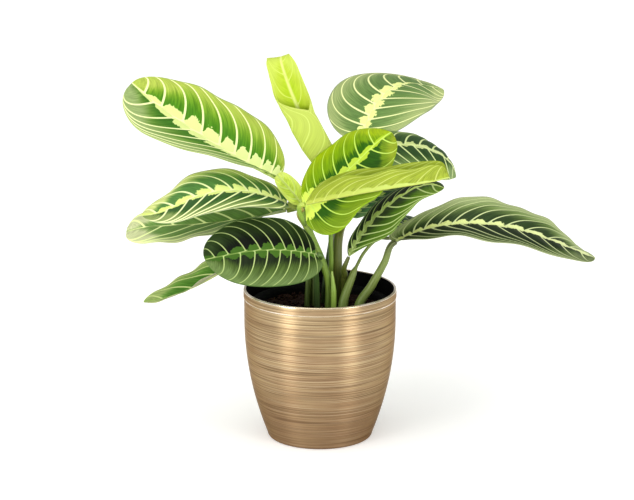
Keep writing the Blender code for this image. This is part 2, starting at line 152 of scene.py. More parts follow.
blades = {
    "upper_left": dict(
        base=(-36, 5, 225.7), heading=165, rise=23, tipRise=39, bend=1.2, length=150, width=86,
        roll=-24, twist=-1, left=(53, -3), right=(24, 18), curl=(-15, -16), peak=0.48,
        ends=(0.44, 0.42), lobe=(2, 2), rib=2.2, veins=10, lean=((0.66, 0.28), (0.45, 0.3)),
        trim=(((0, 1.05), (0.25, 0.84), (0.5, 0.92), (0.75, 1.06), (1, 1.03)),
              ((0, 1), (0.25, 1.1), (0.5, 1.03), (0.75, 1), (1, 0.78))),
        waves=((1, 0.6, 3.2, 0.1), (-1, 0.8, 4.1, 0.4))),
    "mid_left": dict(
        base=(-27.9, -2, 205.1), heading=199, sweep=-8, rise=28, tipRise=-49, bend=1.2, length=130,
        width=66, roll=-19, twist=11, left=(20, 9), right=(21, 11), curl=(-31, -20), peak=0.53,
        lobe=(2, 2), hook=(0.7, 50), lean=((0.6, 0.3), (0.42, 0.3)), veins=10,
        trim=(1, ((0, 1), (0.25, 0.93), (0.5, 1.1), (0.75, 0.93), (1, 1))),
        waves=((1, 0.6, 2.7, 0.3), (-1, 1.0, 3.6, 0.0))),
    "under_left": dict(
        base=(-29, 10, 196), heading=175, rise=-14, tipRise=3, bend=1.2, length=141, width=62,
        roll=-14, twist=-13, left=(36, 3), right=(15, 15), curl=(-12, -20), hook=(0.7, -27),
        ends=(0.47, 0.42), veins=7, lean=((0.94, 0.02), (0.94, 0.02)), pleat=0.3,
        waves=((-1, 1.6, 5.3, 0.2), (1, 1.2, 4.2, 0.0))),
    "low_left": dict(
        base=(-3, -28, 167.5), heading=206, sweep=-3, rise=16, tipRise=-14, bend=1.2, length=103,
        width=64, roll=-54, twist=8, left=(6, -5), right=(5, 2), curl=(-20, -16), peak=0.45,
        lobe=(7, 0), hook=(0.7, 20), veins=10, lean=((0.3, 0.35), (0.3, 0.35)),
        waves=((1, 0.5, 3.4, 0.2), (-1, 0.6, 2.8, 0.5))),
    "drooping_left": dict(
        base=(-49, -12, 176), heading=180, rise=-45, tipRise=-14, length=117, width=46, roll=-7,
        twist=-2, left=(36, 17), right=(29, 19), curl=(-3, -10), hook=(0.7, 10), veins=6,
        lean=((0.92, 0.03), (0.92, 0.03)), waves=((1, 1.2, 3.8, 0.3), (-1, 1.2, 4.4, 0.1))),
    "young_upright": dict(
        base=(18.5, 23.5, 219.2), heading=190, rise=53, tipRise=76, length=129.5, roll=-108, twist=2,
        left=(0, 0), right=(0, 0), squash=(1.5, 0.42), hook=(0.85, -150), lobe=(0, 0),
        halves=(((0, 0.6), (0.06, 16), (0.2, 40), (0.42, 44), (0.5, 38), (0.58, 29), (0.66, 20),
                 (0.75, 13), (0.85, 10), (0.93, 9), (0.98, 6.5), (1, 0.6)),
                ((0, 0.6), (0.06, 14), (0.2, 24), (0.45, 24), (0.55, 20), (0.65, 14), (0.8, 11),
                 (0.88, 9.3), (0.93, 6.5), (0.98, 3.5), (1, 0.6))),
        curl=(((0, 300), (0.44, 292), (0.52, 250), (0.6, 175), (0.7, 100), (0.8, 65), (1, 40)),
              ((0, 175), (0.5, 160), (0.65, 85), (0.8, 65), (1, 40))),
        lean=((0.6, 0.3), (0.6, 0.3)), pleat=0.15),
    "top_right": dict(
        base=(36.6, 93, 243), heading=69, sweep=-28, rise=46, tipRise=-39, bend=1.2, length=143.5,
        width=93.6, roll=2, twist=15, left=(4, 3), right=(14, -9), curl=(-16, -19), ends=(0.5, 0.5),
        hook=(0.7, 25), lean=((0.5, 0.35), (0.55, 0.35)),
        trim=(((0, 1), (0.4, 1.07), (0.6, 0.97), (0.8, 0.92), (1, 1)),
              ((0, 1.05), (0.4, 1.03), (0.6, 0.92), (0.8, 0.78), (1, 0.61))),
        waves=((1, 0.5, 2.6, 0.0), (-1, 0.5, 3.1, 0.5))),
    "centre_bright": dict(
        base=(-12.9, -20, 206), heading=0, sweep=4, rise=39, tipRise=48, length=97, width=73, roll=48,
        twist=1, left=(7, -5), right=(1, 7), curl=(-35, -12), ends=(0.4, 0.5), lobe=(-2, 7),
        hook=(0.7, -35), lean=((0.3, 0.3), (0.5, 0.3)),
        trim=(((0, 0.92), (0.2, 1.04), (0.6, 1.04), (1, 1)),
              ((0, 1.5), (0.2, 1.17), (0.4, 0.95), (0.6, 1.05), (0.8, 0.9), (1, 0.92))),
        waves=((1, 0.5, 2.9, 0.3), (-1, 0.8, 3.7, 0.0))),
    "folded_front": dict(
        base=(-12, -33, 212), heading=-12, sweep=5, rise=15, tipRise=8, length=123, width=52, roll=7,
        twist=-3, left=(86, 88), right=(66, 69), curl=(5, -12), peak=0.5, ends=(0.5, 0.18),
        lobe=(-4, -4), hook=(0.7, 10), lean=((0.75, 0.15), (0.75, 0.15)), pleat=0.3,
        trim=(((0, 0.8), (0.3, 0.82), (0.6, 0.74), (0.9, 0.85), (1, 0.9)),
              ((0, 0.9), (0.2, 0.95), (0.38, 0.84), (0.6, 0.78), (0.9, 0.86), (1, 0.9))),
        waves=((1, 1.2, 3.0, 0.5), (-1, 1.6, 3.4, 0.1))),
    "behind_right": dict(
        base=(36, 36, 241), heading=15, sweep=2, rise=18.5, tipRise=-55, bend=1.2, length=101,
        width=71, roll=24, left=(6, 0), right=(8, -8), curl=(-38, -31), peak=0.41, ends=(0.5, 0.5),
        lobe=(6, 6), hook=(0.7, -25), lean=((0.5, 0.3), (0.72, 0.22)),
        waves=((1, 0.8, 3.6, 0.2), (-1, 1.2, 3.3, 0.4))),
    "inner_right": dict(
        base=(24.5, -14, 162), heading=-14, sweep=-10, rise=67, tipRise=17, length=113, width=53,
        roll=34, twist=-22, left=(32, -1), right=(-14, 10), curl=(-41, -40), peak=0.63, lobe=(0, 0),
        hook=(0.75, -43), veins=10, lean=((0.5, 0.3), (0.68, 0.25)),
        trim=(((0, 1.5), (0.2, 0.85), (0.4, 0.98), (0.6, 0.92), (0.8, 0.85), (1, 1.1)),
              ((0, 0.5), (0.2, 0.9), (0.4, 1.1), (0.6, 1.06), (0.8, 0.9), (1, 1.07))),
        waves=((-1, 0.8, 3.4, 0.2),)),
    "long_right": dict(
        base=(65, 2, 171), heading=-18, sweep=5, rise=34, tipRise=-33.5, bend=0.85, length=178,
        width=69, roll=27, twist=-28, left=(36, -6), right=(19, 3), curl=(-11, -17), peak=0.6,
        ends=(0.47, 0.4), lobe=(17, 14), hook=(0.7, 14), veins=13, lean=((0.5, 0.35), (0.55, 0.35)),
        trim=(((0, 0.8), (0.15, 0.84), (0.3, 0.94), (0.5, 1.03), (1, 1)),
              ((0, 0.2), (0.2, 0.8), (0.4, 0.87), (0.6, 1), (0.8, 0.9), (1, 1.1))),
        pleat=0.9, waves=((1, 2.0, 2.7, 0.25), (-1, 1.6, 3.3, 0.1), (1, 0.7, 7.3, 0.0))),
    "rear": dict(
        base=(26, 14, 190), heading=55, sweep=-3, rise=20, tipRise=3, length=107, width=52, roll=2,
        twist=4, left=(10, 5), right=(12, 2), trim=(1, 0.86)),
    "low_rear": dict(
        base=(62, 22, 171), heading=63, sweep=-4, rise=10, tipRise=-23, length=93, width=46, roll=11,
        left=(10, 5), right=(10, 5), veins=8),
}
wing = dict(base=(-16, -5.6, 206), heading=180, rise=55, tipRise=46, length=32, width=18,
            roll=-60, left=(0, 0), right=(20, 10), curl=(20, 20), peak=0.45, ends=(0.5, 0.3),
            lobe=(0, 0), veins=3, lean=((0.96, 0), (0.96, 0)), pleat=0.1, rib=0.3)


def turn(first, second, angle):
    # both directions turned by the angle, first towards second
    c, s = np.cos(angle)[:, None], np.sin(angle)[:, None]
    return first * c + second * s, second * c - first * s


def midrib(blade, stations=161):
    # place, forward, leftward and upward direction at even stations s from base to tip
    s = np.linspace(0, 1, stations)
    heading = np.radians(blend(blade["heading"], blade["heading"] + blade["sweep"], s))
    rise = np.radians(blend(blade["rise"], blade["tipRise"], s ** blade["bend"]))
    level = np.stack([np.cos(heading), np.sin(heading), 0 * s], axis=1)
    leftward = np.stack([-np.sin(heading), np.cos(heading), 0 * s], axis=1)
    forward, upward = turn(level, np.array([0, 0, 1.0]), rise)
    leftward, upward = turn(leftward, upward, np.radians(blade["roll"] + blade["twist"] * s))
    start, most = blade["hook"]
    hook = np.radians(most) * np.clip((s - start) / (1 - start), 0, 1) ** 1.5
    forward, upward = turn(forward, upward, hook)
    steps = (forward[1:] + forward[:-1]) / 2 * blade["length"] / (stations - 1)
    path = np.vstack([np.zeros(3), np.cumsum(steps, axis=0)]) + blade["base"]
    return s, path, forward, leftward, upward


def halfWidth(blade, u):
    # width / 2 (1 - |2 u^k - 1|^2.2)^e, widest at u = peak
    k = math.log(0.5) / math.log(blade["peak"])
    e = blend(*blade["ends"], u)
    return blade["width"] / 2 * np.clip(1 - np.abs(2 * u ** k - 1) ** 2.2, 0, 1) ** e


def veinNumber(blade, u, t):
    # side veins lean to the tip: a point lies on the vein that starts at u (1 - m) / (1 - m u) with
    # m = l1 |t| + l2 |t|^2.4; they stand closer near the base: count start^0.65
    straight, arched = np.where(t[:, None] >= 0, *blade["lean"]).T
    m = straight * np.abs(t) + arched * np.abs(t) ** 2.4
    start = u * (1 - m) / (1 - m * u)
    wobble = 0.1 * np.sin(9 * start + 2 * np.sign(t)) + 0.06 * np.sin(23 * start)
    return blade["veins"] * (start + 0.004) ** 0.65 + wobble * start + np.where(t >= 0, 0.1, 0.55)


def bladeGrid(blade, rows, columns):
    # the blade's mid surface on a grid of stations u and t, and its fields: each half leaves the
    # midrib at its fold and turns by curl: chord = w |t| sinc(curl |t| / 2)
    v = np.linspace(0, 1, rows)
    u = blend(v, (1 - np.cos(np.pi * v)) / 2, 0.55)
    u, t = (g.ravel() for g in np.meshgrid(u, np.linspace(-1, 1, columns), indexing="ij"))
    s, *curves = midrib(blade)
    path, forward, leftward, upward = (
        np.stack([np.interp(u, s, c[:, i]) for i in range(3)], axis=1) for c in curves)
    isLeft, out = t >= 0, np.abs(t)
    fold = np.radians(np.where(isLeft, blend(*blade["left"], u), blend(*blade["right"], u)))
    curl = np.where(isLeft, *(through(knots, u) for knots in blade["curl"]))
    turnHalf = np.radians(curl) * out / 2
    if blade["halves"]:
        shape = np.where(isLeft, *(through(knots, u) for knots in blade["halves"]))
    else:
        shape = halfWidth(blade, u) * np.where(isLeft, *(through(knots, u) for knots in blade["trim"]))
    half = np.maximum(shape, blade["blunt"])
    chord = half * out * np.sinc(turnHalf / np.pi)
    sideways = np.sign(t) * chord * np.cos(fold + turnHalf) * blade["squash"][0]
    lift = chord * np.sin(fold + turnHalf) * blade["squash"][1]
    # the lobes reach back only near the base, and less where a half is under 8 mm wide
    lobe = np.where(isLeft, *blade["lobe"]) * out ** 1.5 * np.minimum(1, shape / 8) * (1 - u) ** 6
    points = path + sideways[:, None] * leftward + lift[:, None] * upward - lobe[:, None] * forward
    grid = points.reshape(rows, columns, 3)
    normal = np.cross(np.gradient(grid, axis=0), np.gradient(grid, axis=1)).reshape(-1, 3)
    normal /= np.linalg.norm(normal, axis=1, keepdims=True) + 1e-9
    # pitch in mm between side veins: one over how fast the vein number grows along the surface
    vein = veinNumber(blade, u, t)
    growth = [np.gradient(vein.reshape(rows, columns), axis=axis)
              / (np.linalg.norm(np.gradient(grid, axis=axis), axis=2) + 1e-6) for axis in (0, 1)]
    pitch = 1 / np.maximum(np.hypot(*growth).ravel(), 0.02)
    return dict(points=points, normal=normal, u=u, t=t, shape=half, vein=vein,
                pitch=np.minimum(pitch, 40))


def buildBlade(name, blade, materials, rows=131, columns=73, **piece):
    # upper and under side stand half the thickness off the mid surface, pleated between the
    # side veins, grooved over the midrib and ribbed below it, and are joined round the margin
    blade = {**usualBlade, **blade}
    g = bladeGrid(blade, rows, columns)
    out, outward = np.abs(g["t"]), np.abs(g["t"]) * g["shape"]
    offVein = np.abs(g["vein"] - np.round(g["vein"])) * g["pitch"]
    inner = np.minimum(1, outward / 3) * (1 - out ** 6) * np.minimum(1, g["pitch"] / 6)
    raised = blade["pleat"] * (np.sin(np.pi * g["vein"]) ** 2 - 0.5) * inner
    for side, height, number, phase in blade["waves"]:
        swell = np.sin(np.pi * g["u"]) ** 0.5 * out ** 2.5 * (np.sign(g["t"]) == side)
        raised = raised + height * swell * np.sin(2 * np.pi * (number * g["u"] + phase))
    half = blade["thickness"] / 2 * (1 - 0.7 * out ** 8)
    depth, wide = blade["groove"]
    groove = depth * np.exp(-(outward / wide) ** 2) * (1 - 0.7 * g["u"])
    rib = blade["rib"] * np.exp(-(outward / (1.3 * blade["rib"])) ** 2) * (1 - g["u"]) ** 0.8
    high, wide = blade["veinRib"]
    rib = rib + high * np.exp(-(offVein / wide) ** 2) * (1 - out) * np.minimum(1, outward / 3)
    top = g["points"] + (raised + half - groove)[:, None] * g["normal"]
    under = g["points"] + (raised - half - rib)[:, None] * g["normal"]
    faces = gridFaces(rows, columns)
    count = rows * columns
    index = np.arange(count).reshape(rows, columns)
    ring = np.concatenate([index[:-1, 0], index[-1, :-1], index[:0:-1, -1], index[0, :0:-1]])
    after = np.roll(ring, -1)
    edge = np.stack([after, ring, ring + count, after + count], axis=1)
    everything = np.vstack([faces, faces[:, ::-1] + count, edge])
    kinds = np.repeat([0, 1, 0], [len(faces), len(faces), len(edge)])
    twice = {key: np.tile(numbers, 2) for key, numbers in dict(
        vein=g["vein"], pitch=g["pitch"], outward=outward, half=g["t"], along=g["u"]).items()}
    newPiece(name, np.vstack([top, under]), everything, materials, values=twice,
             faceMaterials=kinds, **piece)


# Colours of a blade's face: a pale band round the midrib, side veins, dark patches beside the
# band, the zone outside them, the margin and its edge. bandWidth is the band's half width near
# base, middle and tip in mm, bandEnds where along the blade it tapers. In each cell between two
# side veins the band swells by the share tooth up to toothAt and then shrinks; torn roughens its
# edge. veinWidth is a side vein's half width in mm, veinEnd the share of it left at the margin.
# patchReach is the share of the half blade where the patches fade, over patchSoft, and rightReach
# how much further they reach on the right half. streak is how strongly fine streaks shade the
# green; the tints multiply the green of the left and right half, painted light and shade that
# makes each half lighter or darker as the light falls on it.
usualLook = dict(
    band="#dcec8c", bandTip="#c8dc78", bandWidth=(3, 4.5, 1), bandEnds=(0.5, 0.95), tooth=0.55,
    toothAt=0.3, torn=1.2, rib="#e0eca0", vein="#d8e8a0", veinWidth=0.55, veinEnd=0.4,
    patch="#2c5a20", zone="#5a8a38", margin="#8aa868", edge="#94a870", patchReach=0.5, rightReach=0,
    patchSoft=0.22, streak=0.22, tints=((1, 1, 1), (1, 1, 1)), roughness=0.5)
usualUnder = dict(
    band="#a8bc78", rib="#b4c48c", vein="#b0c088", patch="#6f8a58", zone="#7f9868",
    margin="#98a880", edge="#a0ac88", tooth=0.2, torn=0.6, roughness=0.6)
looks = {
    "upper_left": dict(
        top=dict(band="#e4f0a0", bandTip="#dcea8c", bandWidth=(7, 7.5, 0.6), bandEnds=(0.6, 0.96),
                 tooth=0.5, toothAt=0.5, torn=1.1, vein="#f6fcb4", veinWidth=0.9, patch="#4a8c14",
                 zone="#88b42c", margin="#b4cc54", edge="#a8bc68", patchReach=0.56, patchSoft=0.28,
                 tints=((0.62, 0.64, 1.5), (0.9, 0.86, 0.82))),
        under=dict(band="#d8e890", vein="#d0e080", patch="#8fb048", zone="#a0b858", margin="#b4c870")),
    "mid_left": dict(
        top=dict(band="#f0faa0", bandTip="#dcec7c", bandWidth=(1.6, 5, 2), tooth=0.6, toothAt=0.5,
                 torn=1.4, vein="#f4fcb8", veinWidth=0.9, patch="#3c6a2e", zone="#709c3e",
                 margin="#9cb466", edge="#a8b484", veinEnd=0.6, patchReach=0.75,
                 tints=((0.72, 0.7, 0.72), (1.95, 1.55, 1.8)))),
    "under_left": dict(
        top=dict(band="#4c7424", bandTip="#a8b878", bandWidth=(1, 1, 1), tooth=0, rib="#567c30",
                 vein="#e8f4a8", veinWidth=0.85, veinEnd=0.9, patch="#5c823c", zone="#7e9c54",
                 margin="#acb884", edge="#ccd0a0", patchReach=0.75,
                 tints=((1.3, 1.2, 1.3), (1.3, 1.2, 1.3))),
        under=dict(band="#c0d080", vein="#c0d088", patch="#8aa850", zone="#a0ba68", margin="#b8cc80")),
    "low_left": dict(
        top=dict(band="#466c20", bandTip="#3c601c", bandWidth=(2.5, 4.4, 2), torn=1.8, rib="#7c9848",
                 vein="#b4c87c", veinWidth=0.45, patch="#16240e", zone="#3c5820", margin="#58783c",
                 edge="#4c6830", patchReach=0.46, patchSoft=0.16,
                 tints=((1.3, 1.05, 1.2), (0.22, 0.23, 0.18)))),
    "drooping_left": dict(
        top=dict(band="#6c9838", bandTip="#8cac50", bandWidth=(1, 1, 1), tooth=0, rib="#8cac50",
                 vein="#d4e094", veinWidth=0.6, patch="#4c7c28", zone="#68943c", margin="#98ac64",
                 edge="#b8b090"),
        under=dict(band="#a4ac78", vein="#acb480", patch="#8a9868", zone="#9aa474", margin="#a8a488")),
    "young_upright": dict(
        top=dict(band="#c8d468", bandTip="#c4d45c", bandWidth=(1.2, 1.2, 0.8), tooth=0, torn=0.3,
                 rib="#dce888", vein="#ccdc64", veinWidth=0.3, patch="#a8c420", zone="#b4c838",
                 margin="#bcce50", edge="#c4d258", patchReach=0.3, patchSoft=0.3, streak=0.08),
        under=dict(band="#cede68", rib="#d4e47c", vein="#d4e478", veinWidth=0.45, patch="#bccf54",
                   zone="#c0d05c", margin="#bccc5c", edge="#c4d264", tooth=0, torn=0.3, streak=0.1)),
    "top_right": dict(
        top=dict(band="#ecf698", bandTip="#ecf698", bandWidth=(4, 4.8, 0), bandEnds=(0.45, 0.74),
                 toothAt=0.45, torn=2.2, vein="#f4fab0", veinWidth=0.9, patch="#507634",
                 zone="#688a44", margin="#88a25c", edge="#98a878", patchReach=0.56, patchSoft=0.35,
                 tints=((1.45, 1.22, 1.5), (1.6, 1.34, 1.65)))),
    "centre_bright": dict(
        top=dict(band="#d4e85c", bandTip="#a0c418", bandWidth=(12, 3.6, 1), rib="#c8e464",
                 vein="#c4e460", veinWidth=0.5, patch="#2c6404", zone="#74a00c", margin="#98b81c",
                 edge="#84a814", patchReach=0.36, rightReach=0.26, patchSoft=0.12, toothAt=0.5,
                 torn=1.4, tints=((0.95, 0.88, 0.15), (0.8, 0.7, 1.2))),
        under=dict(band="#c8dc60", vein="#c8dc70", patch="#88b030", zone="#98bc38", margin="#a8c444")),
    "folded_front": dict(
        top=dict(band="#bccc54", vein="#c4d468", patch="#94ac34", zone="#9cb034", margin="#a0b038",
                 edge="#94a430"),
        under=dict(band="#b4c04c", rib="#bcb858", vein="#c4d068", veinWidth=0.5, patch="#9cac3c",
                   zone="#9aaa34", margin="#94a434", edge="#889c2c", streak=0.3)),
    "behind_right": dict(
        top=dict(band="#b4c464", bandTip="#ccd8a0", bandWidth=(2.4, 2.4, 1), torn=2.2, vein="#d0e098",
                 veinWidth=0.7, patch="#2c4820", zone="#587438", margin="#7c9458", edge="#98a880",
                 patchReach=0.55)),
    "inner_right": dict(
        top=dict(band="#80944c", bandWidth=(2, 2.4, 1), rib="#98b060", vein="#b8cc80", veinWidth=0.6,
                 patch="#283c18", zone="#48701c", margin="#5c8028", edge="#6c8c38",
                 tints=((0.26, 0.28, 0.2), (0.82, 0.78, 0.62))),
        under=dict(band="#6f7838", vein="#787c44", patch="#5c6430", zone="#687038", margin="#787c44")),
    "long_right": dict(
        top=dict(band="#d8e488", bandTip="#dce4a8", bandWidth=(1, 2.6, 2.4), toothAt=0.45, torn=2.4,
                 vein="#d4e0a0", veinWidth=0.6, veinEnd=0.1, patch="#2c4020", zone="#6c844a",
                 margin="#a0b080", edge="#b0b890", rightReach=0.3,
                 tints=((1, 0.98, 0.85), (0.4, 0.42, 0.32))),
        under=dict(band="#809468", vein="#889870", patch="#4c6038", zone="#5c7044", margin="#6c8054")),
    "rear": dict(
        top=dict(band="#a8c060", vein="#b0c480", patch="#28502a", zone="#44703c", margin="#688c58"),
        under=dict(band="#809070", vein="#8a9878", patch="#5c6c54", zone="#68785c", margin="#78886c")),
    "low_rear": dict(
        top=dict(band="#a0b860", vein="#a8bc80", patch="#284a28", zone="#406838", margin="#608050"),
        under=dict(band="#788868", vein="#809070", patch="#4c5c3c", zone="#58684c", margin="#64745c")),
    "wing": dict(
        top=dict(band="#b8cc60", bandWidth=(1, 1, 1), tooth=0, rib="#b0c060", vein="#c4d874",
                 veinWidth=0.5, streak=0.3, patch="#b8d048", zone="#c4d854", margin="#d0e068",
                 edge="#c8d868"),
        under=dict(patch="#a8c450", zone="#b4c85c", margin="#c0d068", edge="#b8c868")),
}


def paleBand(tree, look, place, vein, along, outward, offVein):
    # 1 inside the pale band: its edge swells in the basal part of each cell between two veins,
    # shrinks towards the next vein, runs out along the veins and is torn every 2.6 mm or so
    cell = addNode(tree, "Math", (vein,), operation="FRACT")
    torn = addNode(tree, "TexNoise", {"Vector": place, "Scale": 1000 / 2.632, "Detail": 2.5})
    torn = addNode(tree, "Math", (torn, 0.5), operation="SUBTRACT")
    toothAt, tooth = look["toothAt"], look["tooth"]
    swell = addNode(tree, "MapRange", (cell, 0.0, toothAt, 0.2 * tooth, tooth), **smooth)
    shrink = addNode(tree, "MapRange", (cell, toothAt + 0.12, 0.93, 0.0, -1.9 * tooth), **smooth)
    ragged = addNode(tree, "Math", (swell, shrink), operation="ADD")
    ragged = addNode(tree, "Math", (torn, look["torn"], ragged), operation="MULTIPLY_ADD")
    atBase, atMiddle, atTip = look["bandWidth"]
    basal = addNode(tree, "MapRange", (along, 0.0, 0.35, atBase, atMiddle))
    taper = addNode(tree, "MapRange", (along, *look["bandEnds"], 1.0, atTip / atMiddle))
    width = addNode(tree, "Math", (taper, basal), operation="MULTIPLY")
    toothSize = addNode(tree, "Math", (basal, atMiddle), operation="MINIMUM")
    toothSize = addNode(tree, "Math", (toothSize, taper), operation="MULTIPLY")
    edge = addNode(tree, "Math", (ragged, toothSize, width), operation="MULTIPLY_ADD")
    spread = addNode(tree, "MapRange", (offVein, 0.0, 1.0, 1.0, 0.0))
    edge = addNode(tree, "Math", (edge, spread), operation="ADD")
    past = addNode(tree, "Math", (outward, edge), operation="SUBTRACT")
    return addNode(tree, "MapRange", (past, -0.35, 0.35, 1.0, 0.0), **smooth)


def patchDistance(tree, look, vein, share, along, isLeft, streak):
    # how far a point lies towards margin and tip, from 0 at the midrib, uneven by streak and
    # from cell to cell
    cell = addNode(tree, "Math", (vein,), operation="FLOOR")
    cellPlace = addNode(tree, "CombineXYZ", (cell, along))
    chance = addNode(tree, "TexNoise", {"Vector": cellPlace, "Scale": 1.7, "Detail": 0.0})
    reach = addNode(tree, "Math", (streak, 0.35, share), operation="MULTIPLY_ADD")
    reach = addNode(tree, "Math", (chance, 0.5, reach), operation="MULTIPLY_ADD")
    tipward = addNode(tree, "MapRange", (along, 0.72, 1.0, 0.0, 0.8), **smooth)
    reach = addNode(tree, "Math", (reach, tipward), operation="ADD")
    reach = addNode(tree, "Math", (isLeft, look["rightReach"], reach), operation="MULTIPLY_ADD")
    return addNode(tree, "Math", (reach, look["rightReach"]), operation="SUBTRACT")


def leafMaterial(name, look):
    # fresh leaf: green tissue under a thin waxy cuticle, so a soft satin gloss that is weaker
    # than glass would give; the pattern is grown into it and follows the veins
    material, tree, shader = newMaterial(
        name, {"Roughness": look["roughness"], "IOR": 1.45, "Specular IOR Level": 0.14})
    vein, pitch, outward, half, along = (
        addNode(tree, "Attribute", attribute_name=key).outputs["Fac"]
        for key in ("vein", "pitch", "outward", "half", "along"))
    place = addNode(tree, "TexCoord").outputs["Object"]
    share = addNode(tree, "Math", (half,), operation="ABSOLUTE")
    isLeft = addNode(tree, "MapRange", (half, -0.06, 0.06))
    # distance to the nearest side vein in mm; the veins taper to the margin
    offVein = addNode(tree, "Math", (vein, 0.5), operation="PINGPONG")
    offVein = addNode(tree, "Math", (offVein, pitch), operation="MULTIPLY")
    atMidrib, atMargin = look["veinWidth"], look["veinWidth"] * look["veinEnd"]
    veinWidth = addNode(tree, "MapRange", (share, 0.3, 1.0, atMidrib, atMargin))
    offEdge = addNode(tree, "Math", (offVein, veinWidth), operation="SUBTRACT")
    # fine streaks along the veins, about twelve between two of them
    fine = addNode(tree, "Math", (vein, 12.0), operation="MULTIPLY")
    coarse = addNode(tree, "Math", (half, 2.5), operation="MULTIPLY")
    streakPlace = addNode(tree, "CombineXYZ", (fine, coarse))
    streak = addNode(tree, "TexNoise", {"Vector": streakPlace, "Scale": 1.0, "Detail": 3.0})
    shade = addNode(tree, "MapRange", (streak, 0.3, 0.7, 1 - look["streak"], 1 + look["streak"]))
    # dark patches fade outwards; streaks and chance add 0.425 to the distance on average
    reach = patchDistance(tree, look, vein, share, along, isLeft, streak)
    middle, soft = look["patchReach"] + 0.425, look["patchSoft"]
    patch = addNode(tree, "MapRange", (reach, middle - soft, middle + soft, 1.0, 0.0), **smooth)
    outer = addNode(tree, "MapRange", (reach, 0.95, 1.45), **smooth)
    parts = ("patch", "zone", "margin", "rib", "vein", "edge")
    patchGreen, zone, margin, rib, veinPale, edge = (linear(look[part]) for part in parts)
    colour = addNode(tree, "Mix", {0: outer, 6: zone, 7: margin}, **rgba)
    colour = addNode(tree, "Mix", {0: patch, 6: colour, 7: patchGreen}, **rgba)
    colour = addNode(tree, "VectorMath", (colour, shade), operation="MULTIPLY")
    # painted light and shade: each half's green is brightened or darkened by its tint to stand in for
    # how the light falls on that half
    leftLightShade, rightLightShade = ((*halfLightShade, 1) for halfLightShade in look["tints"])
    halfLightShade = addNode(tree, "Mix", {0: isLeft, 6: rightLightShade, 7: leftLightShade}, **rgba)
    colour = addNode(tree, "VectorMath", (colour, halfLightShade), operation="MULTIPLY")
    # over the green lie the pale band, the midrib, the side veins and the edge
    band = {0: along, 6: linear(look["band"]), 7: linear(look["bandTip"])}
    bandMask = paleBand(tree, look, place, vein, along, outward, offVein)
    ribMask = addNode(tree, "MapRange", (outward, 0.25, 0.75, 0.8, 0.0), **smooth)
    veinMask = addNode(tree, "MapRange", (offEdge, -0.3, 0.3, 1.0, 0.0), **smooth)
    edgeMask = addNode(tree, "MapRange", (share, 0.95, 0.99), **smooth)
    for mask, over in ((bandMask, addNode(tree, "Mix", band, **rgba)), (ribMask, rib),
                       (veinMask, veinPale), (edgeMask, edge)):
        colour = addNode(tree, "Mix", {0: mask, 6: colour, 7: over}, **rgba)
    bump = addNode(tree, "Bump", {"Strength": 0.25, "Distance": 0.0004, "Height": streak})
    setInputs(shader, {"Base Color": colour, "Normal": bump})
    return material


def spoken(key):
    # upper_left becomes upperLeft
    first, *others = key.split("_")
    return first + "".join(word.capitalize() for word in others)


for key, blade in blades.items():
    upper = {**usualLook, **looks[key]["top"]}
    under = {**usualLook, **usualUnder, **looks[key].get("under", {})}
    isLight = key in ("upper_left", "young_upright", "centre_bright", "folded_front", "under_left")
    buildBlade(f"{spoken(key)}Leaf", blade,
               [leafMaterial(f"{spoken(key)}LeafUpperSide", upper),
                leafMaterial(f"{spoken(key)}LeafUnderSide", under)],
               standsFor=f"leaf_{key}", slot="light_leaf" if isLight else "dark_leaf")
upper = {**usualLook, **looks["wing"]["top"]}
under = {**upper, **looks["wing"]["under"]}
buildBlade("stalkWing", wing,
           [leafMaterial("wingUpperSide", upper), leafMaterial("wingUnderSide", under)],
           rows=61, columns=31, standsFor="stalk_wing", slot="light_leaf")
print("leaves built")

cachepot = dict(rim=65.0, height=131.0, straightAbove=104.0, narrowing=20.5, wall=2.0, floor=2.5,
                footRounding=2.5, collar=8.0, collarStep=0.5, collarEdge=0.5, steps=200)
growingPot = dict(rim=57.5, foot=40.0, top=119.0, wall=1.2, lip=2.2, lipHeight=5.0, bottom=2.8,
                  steps=160)
soilShape = dict(top=111.0, rise=2.0, clear=1.5, bottom=4.3, rings=70, spokes=220, crumbs=1300,
                 crumbSize=(0.5, 2.0), seed=5)


def potRadius(z):
    # R = rim - narrowing (1 - z / straight)^2 below the straight part
    below = 1 - np.minimum(z / cachepot["straightAbove"], 1)
    return cachepot["rim"] - cachepot["narrowing"] * below ** 2


def arc(centre, radius, start, end, steps):
    # points on a circle in the plane of radius and height, angles in degrees
    a = np.radians(np.linspace(start, end, steps))
    return np.stack([centre[0] + radius * np.cos(a), centre[1] + radius * np.sin(a)], axis=1)


def closedFaces(rows, columns):
    # a closed grid's quads and a fan to each pole; the two poles follow the grid's points
    column = np.arange(columns)
    after, end, pole = (column + 1) % columns, (rows - 1) * columns, rows * columns
    first = np.stack([np.full(columns, pole), column, after], axis=1)
    last = np.stack([np.full(columns, pole + 1), end + after, end + column], axis=1)
    return [*gridFaces(rows, columns, closed=True).tolist(), *first.tolist(), *last.tolist()]


def turnedShape(profile, steps):
    # revolves (radius, height) points; the first and last stand on the axis and close the poles
    angle = np.linspace(0, 2 * np.pi, steps, endpoint=False)
    ring = profile[1:-1]
    grid = np.stack([ring[:, :1] * np.cos(angle), ring[:, :1] * np.sin(angle),
                     np.repeat(ring[:, 1:], steps, axis=1)], axis=2)
    points = np.vstack([grid.reshape(-1, 3), [[0, 0, profile[0][1]], [0, 0, profile[-1][1]]]])
    return points, closedFaces(len(ring), steps)


